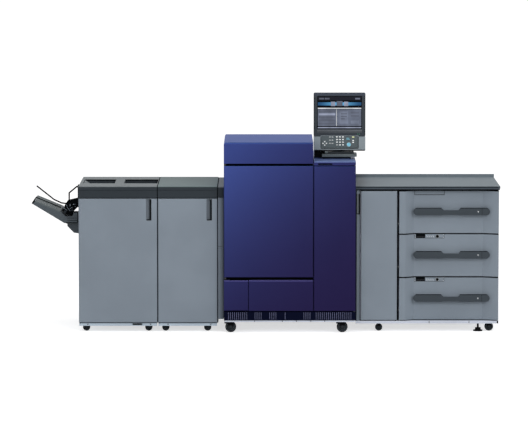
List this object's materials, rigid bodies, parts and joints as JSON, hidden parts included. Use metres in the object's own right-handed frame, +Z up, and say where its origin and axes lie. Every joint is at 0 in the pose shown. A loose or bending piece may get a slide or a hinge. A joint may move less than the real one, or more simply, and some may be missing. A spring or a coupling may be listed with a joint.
{
  "type": "digital production printer",
  "caption": "Production printing line: tall print engine with operator panel, paper feeder with drawers, relay unit and finisher with stack tray; doors and drawers open.",
  "frame": {"origin": "on the floor, under the middle of the whole line's box", "axes": "+X to the right along the line as the operator sees it, -Y towards the operator, +Z up"},
  "size_m": [3.215, 0.95, 1.632],
  "materials": {
    "module_grey": "fine-textured satin paint",
    "module_top_grey": "fine-grained satin plastic",
    "relay_top_grey": "fine-grained satin plastic, slightly green",
    "charcoal": "satin plastic",
    "black_plastic": "matt plastic",
    "tray_grey": "fine-grained plastic",
    "indigo": "metallic satin paint",
    "indigo_plastic": "metallic satin paint on plastic",
    "plinth_dark": "satin plastic",
    "base_metal": "semi-gloss paint",
    "caster_black": "matt rubber and plastic",
    "steel": "bright zinc plated",
    "wire_black": "satin black",
    "panel_dark": "satin plastic",
    "panel_grey": "satin plastic",
    "screen_glass": "lit display behind a smooth cover",
    "key_white": "satin plastic",
    "pull_grey": "satin plastic",
    "sheet_metal": "zinc-grey sheet"
  },
  "bodies": {
    "cabinets": {"finisher_body": "module_grey", "finisher_top": "module_top_grey", "finisher_fascia": "charcoal", "exit_unit": "black_plastic", "guide_wires": "wire_black", "relay_body": "module_grey", "relay_top": "relay_top_grey", "relay_fascia": "charcoal", "module_bases": "base_metal", "module_casters": "caster_black", "filler_panel": "tray_grey", "filler_top": "charcoal", "engine_body": "indigo", "engine_lid": "indigo_plastic", "tower_top": "indigo_plastic", "lower_panel": "indigo_plastic", "engine_plinth": "plinth_dark", "base_rail": "base_metal", "engine_casters": "caster_black", "hinge_pins": "steel", "inner_covers": "tray_grey", "panel_base": "panel_dark", "panel_arm": "panel_dark", "feeder_left_wall": "tray_grey", "feeder_core": "charcoal", "feeder_right_wall": "module_grey", "feeder_back": "module_grey", "feeder_base": "base_metal", "feeder_top": "module_top_grey", "feeder_top_band": "charcoal", "feeder_casters": "caster_black", "feeder_feet": "caster_black", "drawer_rails": "steel"},
    "finisher_door": {"finisher_door": "module_grey"},
    "relay_door": {"relay_door": "module_grey"},
    "main_door": {"main_door": "indigo_plastic"},
    "tower_door": {"tower_door": "indigo_plastic"},
    "waste_door": {"waste_door": "indigo_plastic"},
    "feeder_door": {"feeder_door": "module_grey"},
    "stack_tray": {"stack_tray": "tray_grey", "tray_carriage": "tray_grey"},
    "operator_panel": {"monitor": "panel_dark", "screen": "screen_glass", "key_unit": "panel_grey", "keys": "key_white"},
    "drawer_1": {"drawer_1_front": "module_grey", "drawer_1_tray": "sheet_metal", "drawer_1_pull": "pull_grey"},
    "drawer_2": {"drawer_2_front": "module_grey", "drawer_2_tray": "sheet_metal", "drawer_2_pull": "pull_grey", "drawer_2_display": "black_plastic"},
    "drawer_3": {"drawer_3_front": "module_grey", "drawer_3_tray": "sheet_metal", "drawer_3_pull": "pull_grey", "drawer_3_display": "black_plastic"}
  },
  "joints": [
    {"name": "finisher_door_hinge", "type": "hinge", "parent": "cabinets", "child": "finisher_door", "pos_m": [-1.2685, -0.386, 0.487], "axis": [0, 0, -1], "range_deg": [0, 90]},
    {"name": "relay_door_hinge", "type": "hinge", "parent": "cabinets", "child": "relay_door", "pos_m": [-0.7255, -0.386, 0.487], "axis": [0, 0, -1], "range_deg": [0, 90]},
    {"name": "main_door_hinge", "type": "hinge", "parent": "cabinets", "child": "main_door", "pos_m": [-0.2735, -0.466, 0.763], "axis": [0, 0, -1], "range_deg": [0, 90]},
    {"name": "tower_door_hinge", "type": "hinge", "parent": "cabinets", "child": "tower_door", "pos_m": [0.6085, -0.466, 0.646], "axis": [0, 0, 1], "range_deg": [0, 90]},
    {"name": "waste_door_hinge", "type": "hinge", "parent": "cabinets", "child": "waste_door", "pos_m": [-0.2, -0.464, 0.165], "axis": [1, 0, 0], "range_deg": [0, 85]},
    {"name": "feeder_door_hinge", "type": "hinge", "parent": "cabinets", "child": "feeder_door", "pos_m": [0.8935, -0.386, 0.52], "axis": [0, 0, 1], "range_deg": [0, 90]},
    {"name": "stack_tray_lift", "type": "slide", "parent": "cabinets", "child": "stack_tray", "axis": [0, 0, -1], "range_m": [0, 0.45]},
    {"name": "panel_tilt", "type": "hinge", "parent": "cabinets", "child": "operator_panel", "pos_m": [0.51, -0.143, 1.344], "axis": [-1, 0, 0], "range_deg": [0, 20]},
    {"name": "drawer_1_slide", "type": "slide", "parent": "cabinets", "child": "drawer_1", "axis": [0, -1, 0], "range_m": [0, 0.5]},
    {"name": "drawer_2_slide", "type": "slide", "parent": "cabinets", "child": "drawer_2", "axis": [0, -1, 0], "range_m": [0, 0.5]},
    {"name": "drawer_3_slide", "type": "slide", "parent": "cabinets", "child": "drawer_3", "axis": [0, -1, 0], "range_m": [0, 0.5]}
  ]
}
